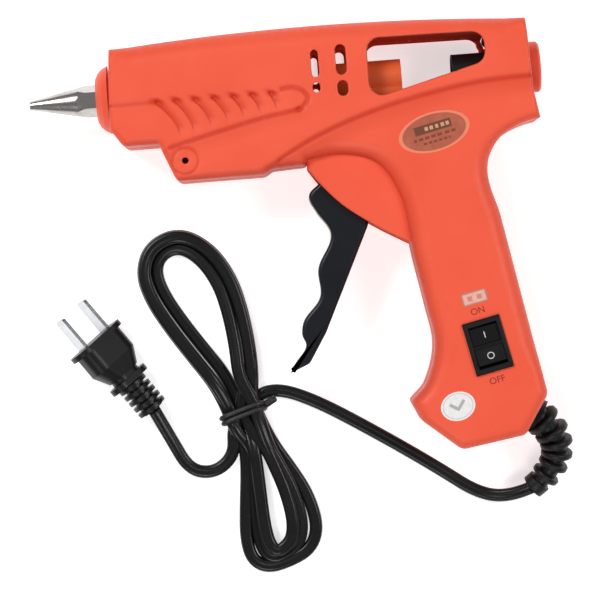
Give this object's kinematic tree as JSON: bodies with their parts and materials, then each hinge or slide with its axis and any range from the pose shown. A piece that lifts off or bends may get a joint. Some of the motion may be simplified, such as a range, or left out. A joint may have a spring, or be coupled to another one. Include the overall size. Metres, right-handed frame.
{
  "type": "hot-melt glue gun",
  "caption": "Hot-melt glue gun on its side: rounded two-shell casing, black trigger, side window on the feed carriage, rocker switch, ribbed boot and a folded, tied cord with its plug.",
  "frame": {"origin": "on the flat side of the lower shell, which rests on the table, straight under the barrel axis", "axes": "+X back along the barrel, from the nozzle to the glue-stick inlet; +Y up the gun, away from the handle; +Z through the gun, away from the table"},
  "size_m": [0.2036, 0.2139, 0.0409],
  "materials": {
    "shell_orange": "satin moulded plastic",
    "slide_orange": "moulded plastic",
    "black_plastic": "moulded plastic",
    "trigger_black": "satin moulded plastic",
    "switch_black": "polished plastic",
    "nozzle_metal": "turned, heat-toned",
    "cast_alloy": "as cast",
    "pin_steel": "bright",
    "screw_steel": "blackened",
    "spring_steel": "bright",
    "brass": "bright",
    "ceramic": "fired ceramic",
    "film_amber": "insulating film",
    "board_fibre": "pressed fibre board",
    "silicone_red": "silicone",
    "boot_rubber": "moulded",
    "cord_sheath": "smooth vinyl",
    "wire_sheath": "insulated lead",
    "tie_sheath": "coated wire",
    "label_oval": "printed film",
    "label_pale": "printed film",
    "label_white": "printed paper",
    "blade_metal": "plated"
  },
  "bodies": {
    "gun": {"housing_upper": "shell_orange", "housing_lower": "shell_orange", "housing_screws": "screw_steel", "nose_collar": "shell_orange", "nozzle": "nozzle_metal", "melt_chamber": "cast_alloy", "electrode_upper": "brass", "electrode_lower": "brass", "ptc_heater": "ceramic", "heater_film": "film_amber", "wedge_spring": "spring_steel", "chamber_plate_front": "board_fibre", "chamber_plate_rear": "board_fibre", "stick_sleeve": "silicone_red", "sleeve_clip": "spring_steel", "rear_guide": "black_plastic", "rear_collar": "shell_orange", "trigger_pin": "pin_steel", "return_spring": "spring_steel", "spring_post": "pin_steel", "switch_body": "black_plastic", "switch_terminals": "brass", "oval_label": "label_oval", "panel_label": "label_pale", "round_sticker": "label_white", "cord_inner": "cord_sheath", "cord_clamp": "black_plastic", "clamp_screws": "screw_steel", "neutral_wire": "wire_sheath", "switch_wire": "wire_sheath", "live_wire": "wire_sheath", "strain_relief": "boot_rubber", "cord_lead": "cord_sheath", "cord_tail": "cord_sheath", "cord_hank": "cord_sheath", "cord_tie": "tie_sheath", "plug_body": "cord_sheath", "plug_blades": "blade_metal"},
    "trigger": {"trigger": "trigger_black"},
    "carriage": {"feed_carriage": "slide_orange", "carriage_pin": "pin_steel", "jaw_pin": "pin_steel"},
    "jaw": {"grip_jaw": "pin_steel"},
    "rocker": {"switch_rocker": "switch_black"}
  },
  "joints": [
    {"name": "trigger_pivot", "type": "hinge", "parent": "gun", "child": "trigger", "pos_m": [0.024, -0.04, 0.019], "axis": [0, 0, 1], "range_deg": [0, 25], "stiffness_Nm_per_rad": 0.5, "springref_deg": -20.05},
    {"name": "carriage_slide", "type": "slide", "parent": "gun", "child": "carriage", "axis": [-1, 0, 0], "range_m": [0, 0.01198], "deforming": ["return_spring"]},
    {"name": "jaw_pivot", "type": "hinge", "parent": "carriage", "child": "jaw", "pos_m": [0.043, -0.0123, 0.019], "axis": [0, 0, 1], "range_deg": [-8.1, 0]},
    {"name": "rocker_tilt", "type": "hinge", "parent": "gun", "child": "rocker", "pos_m": [0.0717, -0.1078, 0.038], "axis": [0.9781, 0.2079, 0], "range_deg": [0, 22]}
  ],
  "couplings": [
    {"joint": "carriage_slide", "follows": "trigger_pivot", "m_per_rad": 0.027437},
    {"joint": "jaw_pivot", "follows": "trigger_pivot", "ratio": -0.32}
  ]
}
